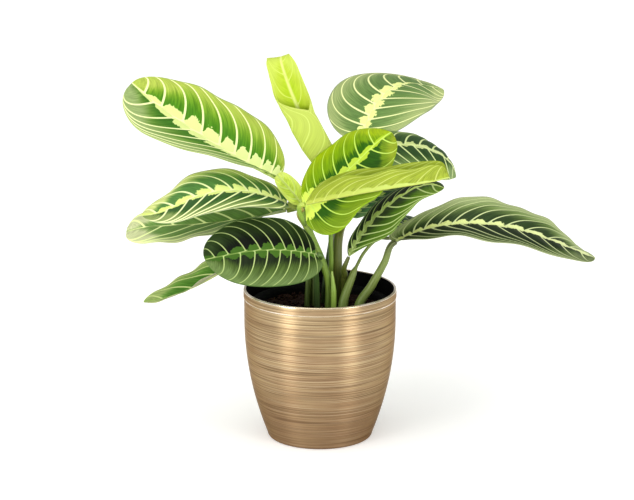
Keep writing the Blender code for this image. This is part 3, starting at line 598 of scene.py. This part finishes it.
def lacquerMaterial(name):
    # gold lacquer over metal, brushed round the pot: satin, metallic and anisotropic, so lights
    # stretch into upright bands; dark hairlines 0.5 and 0.8 mm high and 70 to 120 mm long where
    # the brush bared the brown coat beneath, over streaks 2 mm high and clouds of 42 mm; darker
    # and browner towards the foot, painted shade where the pot narrows and turns away from the light
    material, tree, shader = newMaterial(
        name, {"Roughness": 0.4, "Metallic": 0.85, "Specular IOR Level": 0.15, "Anisotropic": 0.8,
               "Anisotropic Rotation": 0.25, "Specular Tint": linear("#c8b8a8")})
    place = addNode(tree, "TexCoord").outputs["Object"]
    layers = []
    for tilt, high, long in ((0.012, 0.26, 34.0), (-0.015, 0.4, 60.0), (0.008, 1.0, 110.0)):
        stretch = (1000 / long, 1000 / long, 1000 / high)
        brushed = {"Vector": place, "Rotation": (tilt, tilt, 0.0), "Scale": stretch}
        layers.append(addNode(tree, "TexNoise", {"Vector": addNode(tree, "Mapping", brushed),
                                                 "Scale": 0.5, "Detail": 0.5, "Roughness": 0.5}))
    cloud = addNode(tree, "TexNoise", {"Vector": place, "Scale": 1000 / 41.7, "Detail": 2.0})
    height = addNode(tree, "SeparateXYZ", (place,)).outputs[2]
    broad = addNode(tree, "MapRange", (layers[2], 0.38, 0.62))
    colour = addNode(tree, "Mix", {0: broad, 6: linear("#b29672"), 7: linear("#baa078")}, **rgba)
    warm = addNode(tree, "MapRange", (cloud, 0.4, 0.65, 0.0, 0.5))
    hairlines = [addNode(tree, "MapRange", (layer, 0.36, 0.46, 0.5, 0.0)) for layer in layers[:2]]
    bright = addNode(tree, "MapRange", (layers[0], 0.56, 0.66, 0.0, 0.4))
    # painted shade: darker and browner towards the foot, where the narrowing pot turns away from the
    # light
    foot = addNode(tree, "MapRange", (height, 0.0, 0.09, 0.55, 0.0), **smooth)
    for mask, over in ((warm, "#9c7c5c"), (hairlines[0], "#64503c"), (hairlines[1], "#64503c"),
                       (bright, "#d8c4a0"), (foot, "#70523a")):
        colour = addNode(tree, "Mix", {0: mask, 6: colour, 7: linear(over)}, **rgba)
    roundPot = addNode(tree, "Tangent", direction_type="RADIAL", axis="Z")
    setInputs(shader, {"Base Color": colour, "Tangent": roundPot})
    return material


def edgeHighlightMaterial(name):
    # a painted highlight on the pot's rim and on the collar's edge: the same metal made near white,
    # in broken stretches of 25 mm, standing in for the light those edges catch
    material, tree, shader = newMaterial(name, {"Roughness": 0.25, "Metallic": 0.8})
    place = addNode(tree, "TexCoord").outputs["Object"]
    glintStretch = addNode(tree, "TexNoise", {"Vector": place, "Scale": 1000 / 25, "Detail": 2.0})
    glintStretch = addNode(tree, "MapRange", (glintStretch, 0.4, 0.55))
    colour = addNode(tree, "Mix", {0: glintStretch, 6: linear("#c4b498"), 7: linear("#f4e8d8")}, **rgba)
    setInputs(shader, {"Base Color": colour})
    return material


def blackMaterial(name, roughness):
    # black polypropylene, moulded, and the cachepot's black inside: satin, with a faint mottle
    # 3.3 mm wide; the black is deeper than black plastic is, painted shade inside the pot
    material, tree, shader = newMaterial(
        name, {"Roughness": roughness, "IOR": 1.49, "Specular IOR Level": 0.12})
    place = addNode(tree, "TexCoord").outputs["Object"]
    mottle = addNode(tree, "TexNoise", {"Vector": place, "Scale": 1000 / 3.333, "Detail": 3.0})
    # painted shade: near black, darker than black plastic, so the inside of the pot reads as deep
    # shade
    colour = addNode(tree, "Mix", {0: mottle, 6: linear("#040405"), 7: linear("#0a0a0b")}, **rgba)
    bump = addNode(tree, "Bump", {"Strength": 0.15, "Distance": 0.0002, "Height": mottle})
    setInputs(shader, {"Base Color": colour, "Normal": bump})
    return material


def soilMaterial(name):
    # moist peat with bark: matt, nearly black brown, with reddish crumbs 2 mm wide in patches
    # of 9 mm; finer grit wouldn't show
    material, tree, shader = newMaterial(
        name, {"Roughness": 0.85, "IOR": 1.35, "Specular IOR Level": 0.2})
    place = addNode(tree, "TexCoord").outputs["Object"]
    crumb = addNode(tree, "TexNoise", {"Vector": place, "Scale": 1000 / 2, "Detail": 4.0})
    large = addNode(tree, "TexNoise", {"Vector": place, "Scale": 1000 / 9.09, "Detail": 2.0})
    crumbMask = addNode(tree, "MapRange", (crumb, 0.4, 0.7))
    largeMask = addNode(tree, "MapRange", (large, 0.4, 0.7))
    colour = addNode(tree, "Mix", {0: crumbMask, 6: linear("#150b09"), 7: linear("#3a2019")}, **rgba)
    colour = addNode(tree, "Mix", {0: largeMask, 6: colour, 7: linear("#2a1712")}, **rgba)
    bump = addNode(tree, "Bump", {"Strength": 0.6, "Distance": 0.0006, "Height": crumb})
    setInputs(shader, {"Base Color": colour, "Normal": bump})
    return material


def buildCachepot():
    # profile from the middle of the inner floor up the inside, over the rim and collar, and down
    c = cachepot
    inner = np.linspace(c["floor"], c["height"] - 0.7, 50)
    inside = np.stack([potRadius(inner) - c["wall"], inner], axis=1)
    outerRim = c["rim"] + c["collarStep"]
    rimMiddle = (c["rim"] - c["wall"] + outerRim) / 2
    rimRadius = (outerRim - c["rim"] + c["wall"]) / 2
    rim = arc((rimMiddle, c["height"] - rimRadius), rimRadius, 180, 0, 13)
    collarFoot = c["height"] - c["collar"]
    edge = c["collarEdge"]
    rounded = arc((outerRim - edge, collarFoot + edge), edge, 0, -70, 5)
    collar = [(outerRim, collarFoot + 0.9), *rounded, (c["rim"] - 0.15, collarFoot - 0.1),
              (c["rim"], collarFoot - 0.9)]
    outer = np.linspace(collarFoot - 1.5, 5, 70)
    outside = np.stack([potRadius(outer), outer], axis=1)
    foot = potRadius(c["footRounding"]) - c["footRounding"]
    bottom = arc((foot, c["footRounding"]), c["footRounding"], 0, -90, 8)
    profile = np.vstack([[(0, c["floor"])], inside, rim, collar, outside, bottom, [(0, 0)]])
    points, faces = turnedShape(profile, c["steps"])
    # black inside, gold outside, and a painted highlight on the rim and on the collar's lower edge
    rimRow, collarRow = len(inside) + 3, len(inside) + len(rim)
    kinds = np.ones(len(profile) - 3, int)
    kinds[:rimRow] = 0
    kinds[rimRow:collarRow - 1] = 2
    kinds[collarRow:collarRow + len(collar) - 2] = 2
    kinds = np.repeat([*kinds, 0, 1], c["steps"])
    newPiece("cachepot", points, faces,
             [blackMaterial("shadedBlackInside", 0.5), lacquerMaterial("brushedGoldLacquer"),
              edgeHighlightMaterial("paintedEdgeHighlight")],
             standsFor="outer_pot", slot="gold_lacquer", faceMaterials=kinds)


def growRadius(z):
    # the growing pot's outside, straight from foot to rim
    return blend(growingPot["foot"], growingPot["rim"], z / growingPot["top"])


def buildGrowingPot():
    # profile from the middle of the inner floor up the inside, over the rolled lip, and down
    g = growingPot
    inner = np.linspace(g["bottom"] + g["wall"], g["top"] - 0.5, 24)
    inside = np.stack([growRadius(inner) - g["wall"], inner], axis=1)
    lipOuter = g["rim"] + g["lip"]
    lipFoot = g["top"] - g["lipHeight"]
    inlet = arc((g["rim"] - g["wall"] + 0.5, g["top"] - 0.5), 0.5, 180, 90, 5)
    outlet = arc((lipOuter - 0.8, g["top"] - 0.8), 0.8, 90, 0, 6)
    lip = [(lipOuter, lipFoot + 0.4), (lipOuter - 0.4, lipFoot), (growRadius(lipFoot), lipFoot)]
    outer = np.linspace(lipFoot - 1, g["bottom"] + 2, 24)
    outside = np.stack([growRadius(outer), outer], axis=1)
    profile = np.vstack([[(0, g["bottom"] + g["wall"])], inside, inlet, outlet, lip, outside,
                         [(growRadius(g["bottom"]) - 2, g["bottom"]), (0, g["bottom"])]])
    points, faces = turnedShape(profile, g["steps"])
    newPiece("growingPot", points, faces, [blackMaterial("shadedBlackPolypropylene", 0.75)],
             standsFor="grow_pot", slot="black_plastic")


def soilHeight(radius):
    # slightly mounded: top + rise (1 - (r / edge)^2)
    edge = growRadius(soilShape["top"])
    return soilShape["top"] + soilShape["rise"] * (1 - (radius / edge) ** 2)


def lumps(x, y, random, count=90, shortest=3, longest=22, slope=0.012):
    # a sum of plane waves with random headings and phases, each slope times its length high
    length = shortest * (longest / shortest) ** random.random(count)
    heading, phase = random.random(count) * 2 * np.pi, random.random(count) * 2 * np.pi
    across = x[:, None] * np.cos(heading) + y[:, None] * np.sin(heading)
    return (np.sin(2 * np.pi / length * across + phase) * length).sum(axis=1) * slope


def icosahedron():
    # corners (0, 1, golden ratio) with every sign, carried round the axes; neighbours join
    golden = (1 + 5 ** 0.5) / 2
    corner = np.array([(a, b * golden, 0) for a in (-1, 1) for b in (-1, 1)], float)
    corner = np.vstack([corner, np.roll(corner, 1, axis=1), np.roll(corner, 2, axis=1)]) / 1.9
    apart = np.linalg.norm(corner[:, None] - corner[None], axis=2)
    side = apart[apart > 0.1].min() * 1.1
    triangles = np.array([(i, j, k) for i in range(12) for j in range(i, 12) for k in range(j, 12)
                          if i < j < k and max(apart[i, j], apart[j, k], apart[i, k]) < side])
    a, b, c = (corner[triangles[:, i]] for i in range(3))
    inward = (np.cross(b - a, c - a) * a).sum(axis=1) < 0
    triangles[inward] = triangles[inward][:, ::-1]
    return corner, triangles


def buildSoil():
    # a lumpy surface that fills the growing pot, with stretched, dented crumbs scattered by area
    s = soilShape
    random = np.random.default_rng(s["seed"])
    edge = growRadius(s["top"]) - s["clear"]
    radius = np.linspace(edge, 0, s["rings"])[:-1]
    wall = np.array([s["bottom"], 40, 80, s["top"] - 1.2])
    profile = np.vstack([[(0, s["bottom"])], np.stack([growRadius(wall) - s["clear"], wall], axis=1),
                         np.stack([radius, soilHeight(radius)], axis=1), [(0, soilHeight(0))]])
    points, faces = turnedShape(profile[::-1], s["spokes"])
    upper = points[:, 2] > s["top"] - 0.5
    points[upper, 2] += np.minimum(lumps(points[upper, 0], points[upper, 1], random), 1.2)
    corner, triangles = icosahedron()
    n = s["crumbs"]
    size = blend(*s["crumbSize"], random.random(n) ** 2.5)
    r, a = (edge - 2) * np.sqrt(random.random(n)), random.random(n) * 2 * np.pi
    dents = 1 + 0.35 * (random.random((n, 12, 1)) - 0.5)
    axes = np.linalg.qr(random.standard_normal((n, 3, 3)))[0]
    stretch = 0.6 + 0.8 * random.random((n, 1, 3))
    crumbs = (corner[None] * dents * stretch) @ axes * size[:, None, None]
    middle = np.stack([r * np.cos(a), r * np.sin(a), soilHeight(r) + 0.3 * size], axis=1)
    points = np.vstack([points, (crumbs + middle[:, None]).reshape(-1, 3)])
    crumbFaces = triangles[None] + (np.arange(n) * 12)[:, None, None] + len(points) - 12 * n
    faces = faces + crumbFaces.reshape(-1, 3).tolist()
    newPiece("pottingSoil", points, faces, [soilMaterial("moistPeat")], standsFor="soil",
             slot="potting_soil")


buildCachepot()
buildGrowingPot()
buildSoil()
print("pots and soil built")

# Each stalk stands on the soil at its first point (x, y), or branches off another where that
# point has a height, passes the others and meets its blade along the midrib over approach,
# ending clear short of it. radii run from foot to blade; look names the colours.
stalks = {
    "upper_left": dict(
        points=[(8, 5), (7.5, 5, 135), (2.5, 3, 153), (-4.3, 0, 170), (-12, -5, 189)], approach=11,
        radii=(3.0, 2.7, 2.2), look="flushed"),
    "mid_left": dict(
        points=[(-4.5, 3), (-5, 4, 145), (-8, 6, 180)], approach=9, radii=(2.6, 1.9, 2.4),
        look="olive"),
    "under_left": dict(
        points=[(-9, 10), (-9, 10, 145), (-10, 12, 182)], approach=9, radii=(3.0, 1.9, 2.3),
        look="olive"),
    "low_left": dict(
        points=[(-2.5, -5), (-3, -9, 138), (-3.5, -16, 156)], approach=3, radii=(2.7, 2.1, 2.1),
        clear=1.1, look="dark"),
    "drooping_left": dict(
        points=[(-11, 1), (-11, 0, 150), (-24, -6, 184)], approach=9, radii=(2.6, 1.8, 2.1),
        look="olive"),
    "young_upright": dict(
        points=[(8.5, 11.5), (9.5, 9, 150), (10.5, 11, 185)], approach=9, radii=(2.3, 1.9, 2.2),
        look="bright"),
    "top_right": dict(
        points=[(10, 22), (11, 26, 143), (13, 44, 190), (22, 66, 215)], approach=10,
        radii=(3.0, 2.0, 2.4), look="olive"),
    "centre_bright": dict(
        points=[(7, -3), (7, -3.5, 135), (2.3, -6, 153), (-4.3, -9, 170), (-12, -13, 188)], approach=4,
        radii=(3.0, 2.6, 2.1), clear=1.3, look="flushed"),
    "behind_right": dict(
        points=[(3, 15), (6, 18, 145), (10.5, 25, 175), (15, 33, 215)], approach=9,
        radii=(2.4, 1.8, 2.0), clear=1.1, look="dark"),
    "inner_right": dict(
        points=[(21, 6), (21, 4.5, 138)], approach=7, radii=(3.8, 3.0, 1.5), look="striped"),
    "long_right": dict(
        points=[(33, 0), (44.5, 1, 133), (55, 1.6, 152.5)], approach=3, radii=(4.2, 3.1, 2.4),
        look="sage"),
    "rear": dict(
        points=[(15, 14), (14.8, 13.5, 150), (15.8, 13.5, 173)], approach=8, radii=(4.3, 4.3, 2.3),
        look="striped"),
    "low_rear": dict(
        points=[(19, -5), (28.5, -1, 144), (31, 1, 149), (38, 8, 160), (50, 16, 170)], approach=5,
        radii=(4.4, 1.4, 1.6), look="sage"),
    "folded_front": dict(
        points=[(-12.6, -18.8, 191), (-13.2, -21.5, 193), (-17, -28, 203)], approach=4,
        radii=(1.8, 1.9, 2.2), look="bright"),
}
basalSheath = dict(
    points=[(11.5, -9), (11.5, -8.5, 130), (10.2, -7, 147)], radii=(2.4, 2.4, 0.7), look="pale")
stalkLooks = {
    "bright": dict(foot="#56702c", middle="#86a83a", top="#b4c448", stripe="#a8c458"),
    "flushed": dict(foot="#56702c", middle="#80a038", top="#a09040", stripe="#a0b850"),
    "olive": dict(foot="#3f5020", middle="#5c7428", top="#a0b04c", stripe="#7c8c48"),
    "dark": dict(foot="#2c3c1c", middle="#3f5a24", top="#5c7a30", stripe="#50683c"),
    "striped": dict(foot="#545c20", middle="#5c6824", top="#505c20", stripe="#848040"),
    "sage": dict(foot="#809848", middle="#76883e", top="#48502c", stripe="#98a45c"),
    "pale": dict(foot="#8cae44", middle="#a0c44c", top="#b8d468", stripe="#b4cc68"),
}


def stalkMaterial(name, look):
    # living stalk: smooth green skin, faintly glossy, with pale fibres 0.7 mm apart and 29 mm long
    material, tree, shader = newMaterial(name, {"Roughness": 0.42, "IOR": 1.45})
    place = addNode(tree, "Attribute", attribute_name="skinPlace").outputs["Vector"]
    along = addNode(tree, "Attribute", attribute_name="along").outputs["Fac"]
    low = addNode(tree, "MapRange", (along, 0.0, 0.35))
    high = addNode(tree, "MapRange", (along, 0.75, 0.95))
    fibre = addNode(tree, "Mapping", {"Vector": place, "Scale": (1 / 0.714, 1 / 0.714, 1 / 28.6)})
    fibre = addNode(tree, "TexNoise", {"Vector": fibre, "Scale": 1.0, "Detail": 3.0})
    pale = addNode(tree, "MapRange", (fibre, 0.45, 0.7, 0.0, 0.7))
    colour = linear(look["foot"])
    for mask, over in ((low, "middle"), (high, "top"), (pale, "stripe")):
        colour = addNode(tree, "Mix", {0: mask, 6: colour, 7: linear(look[over])}, **rgba)
    bump = addNode(tree, "Bump", {"Strength": 0.3, "Distance": 0.0003, "Height": fibre})
    setInputs(shader, {"Base Color": colour, "Normal": bump})
    return material


def stalkRoute(points, radii, blade=None, approach=0, clear=0.8, sunk=1.0, steps=20):
    # Bezier curve through the points, each tangent along the chord of its neighbours, sampled
    # as whole arrays: (1-q)^3 a + 3 (1-q)^2 q b + 3 (1-q) q^2 c + q^3 d; sunk is how deep the
    # foot stands in the soil, steps the rings between two points
    path = [np.array([*p, soilHeight(math.hypot(*p)) - sunk]) if len(p) == 2 else np.array(p, float)
            for p in points]
    first = np.array([0, 0, 1.0]) if len(points[0]) == 2 else path[1] - path[0]
    last = path[-1] - path[-2]
    if blade:
        _, _, forward, _, _ = midrib(blade)
        last, base = forward[0], np.array(blade["base"], float)
        path += [base - last * approach, base - last * clear]
    tangents = [first] + [b - a for a, b in zip(path, path[2:])] + [last]
    if blade:
        tangents[-2] = last
    tangents = [v / np.linalg.norm(v) for v in tangents]
    foot, upper, joint = radii
    sizes = [foot, blend(foot, upper, 0.5)] + [upper] * (len(path) - 4)
    sizes += [blend(upper, joint, 0.7), joint] if blade else [joint]
    path, tangents = np.array(path), np.array(tangents)
    span = np.linalg.norm(np.diff(path, axis=0), axis=1, keepdims=True) / 3
    knots = path[:-1], path[:-1] + tangents[:-1] * span, path[1:] - tangents[1:] * span, path[1:]
    q = np.linspace(0, 1, steps, endpoint=False)[None, :, None]
    a, b, c, d = (k[:, None] for k in knots)
    line = (1 - q) ** 3 * a + 3 * (1 - q) ** 2 * q * b + 3 * (1 - q) * q ** 2 * c + q ** 3 * d
    line = np.vstack([line.reshape(-1, 3), path[-1:]])
    return line, np.interp(np.arange(len(line)) / steps, np.arange(len(sizes)), sizes)


def tube(line, radius, sides=24, skinRadius=3):
    # rings square to the line, the ends closed by a pole; skinPlace unrolls the skin as if every
    # stalk were straight and skinRadius thick, along runs from 0 at the foot to 1
    forward = np.gradient(line, axis=0)
    forward /= np.linalg.norm(forward, axis=1, keepdims=True)
    side = np.cross(forward, [0.0, 1.0, 0.0])
    side /= np.linalg.norm(side, axis=1, keepdims=True)
    other = np.cross(forward, side)
    a = np.linspace(0, 2 * np.pi, sides, endpoint=False)
    ring = side[:, None] * np.cos(a)[None, :, None] + other[:, None] * np.sin(a)[None, :, None]
    points = line[:, None] + ring * np.reshape(radius, (len(line), -1, 1))
    length = np.concatenate([[0], np.cumsum(np.linalg.norm(np.diff(line, axis=0), axis=1))])
    skin = np.broadcast_arrays(
        skinRadius * np.cos(a)[None], skinRadius * np.sin(a)[None], length[:, None])
    skin = np.vstack([np.stack(skin, axis=2).reshape(-1, 3), [[0, 0, 0], [0, 0, length[-1]]]])
    points = np.vstack([points.reshape(-1, 3), line[:1], line[-1:]])
    values = dict(skinPlace=skin, along=skin[:, 2] / length[-1])
    return points, closedFaces(len(line), sides), values


stalkSkins = {key: stalkMaterial(f"{key}StalkSkin", look) for key, look in stalkLooks.items()}


def buildStalk(name, node, look, **route):
    # one tube of skin along its route
    points, faces, values = tube(*stalkRoute(**route))
    newPiece(name, points, faces, [stalkSkins[look]], standsFor=node, slot="green_stalk",
             values=values)


for key, stalk in stalks.items():
    buildStalk(f"{spoken(key)}Stalk", f"stalk_{key}", blade={**usualBlade, **blades[key]}, **stalk)
buildStalk("basalSheath", "basal_sheath", **basalSheath)
print("stalks built")

# Places are in metres. Lights are (name, kind, place, size, power), all aimed at the plant: a
# soft sun for the even floor, with its size in degrees, and softboxes whose tall reflections
# stripe the pot.
studio = dict(cameraPlace=(-0.00257, -1.8567, 0.6441), cameraTilt=75.5, lens=127.87, sensor=36.0,
              cameraRange=30, worldStrength=0.5, floorReach=8, floorGlow=0.3, aim=(0, 0, 0.15),
              lights=(("softSun", "SUN", (-0.5, -1.2, 2.4), 70, 1.3),
                      ("leftStrip", "AREA", (-1.2, -1.15, 0.25), (0.6, 0.9), 12.5),
                      ("rightStrip", "AREA", (1.2, -1.15, 0.35), (0.55, 0.9), 10.5),
                      ("topSoftbox", "AREA", (-0.2, 0.2, 1.6), (0.8, 0.8), 3)))


def buildStudio():
    # a pale floor that glows a little, a white world, the lights and the camera
    reach = studio["floorReach"]
    corners = [(-reach, -reach, 0), (reach, -reach, 0), (reach, reach, 0), (-reach, reach, 0)]
    floorMesh = bpy.data.meshes.new("studioFloor")
    floorMesh.from_pydata(corners, [], [(0, 1, 2, 3)])
    floor = bpy.data.objects.new("studioFloor", floorMesh)
    white = (1, 1, 1, 1)
    paper = {"Base Color": linear("#f6f6f4"), "Roughness": 0.8, "Specular IOR Level": 0.0,
             "Emission Color": white, "Emission Strength": studio["floorGlow"]}
    floorMesh.materials.append(newMaterial("paleFloor", paper)[0])
    bpy.context.scene.collection.objects.link(floor)
    world = bpy.data.worlds.new("softWhite")
    world.use_nodes = True
    setInputs(world.node_tree.nodes["Background"],
              {"Color": white, "Strength": studio["worldStrength"]})
    bpy.context.scene.world = world
    for name, kind, place, size, power in studio["lights"]:
        lamp = bpy.data.lights.new(name, kind)
        lamp.energy = power
        if kind == "SUN":
            lamp.angle = math.radians(size)
        else:
            lamp.shape, (lamp.size, lamp.size_y) = "RECTANGLE", size
        light = bpy.data.objects.new(name, lamp)
        light.location = place
        towards = Vector(studio["aim"]) - Vector(place)
        light.rotation_euler = towards.to_track_quat("-Z", "Y").to_euler()
        bpy.context.scene.collection.objects.link(light)
    lens = bpy.data.cameras.new("camera")
    lens.lens, lens.sensor_width = studio["lens"], studio["sensor"]
    lens.clip_end = studio["cameraRange"]
    camera = bpy.data.objects.new("camera", lens)
    camera.location = studio["cameraPlace"]
    camera.rotation_euler = (math.radians(studio["cameraTilt"]), 0, 0)
    bpy.context.scene.collection.objects.link(camera)
    bpy.context.scene.camera = camera
    bpy.context.scene.view_settings.view_transform = "Standard"


buildStudio()
print("studio built")
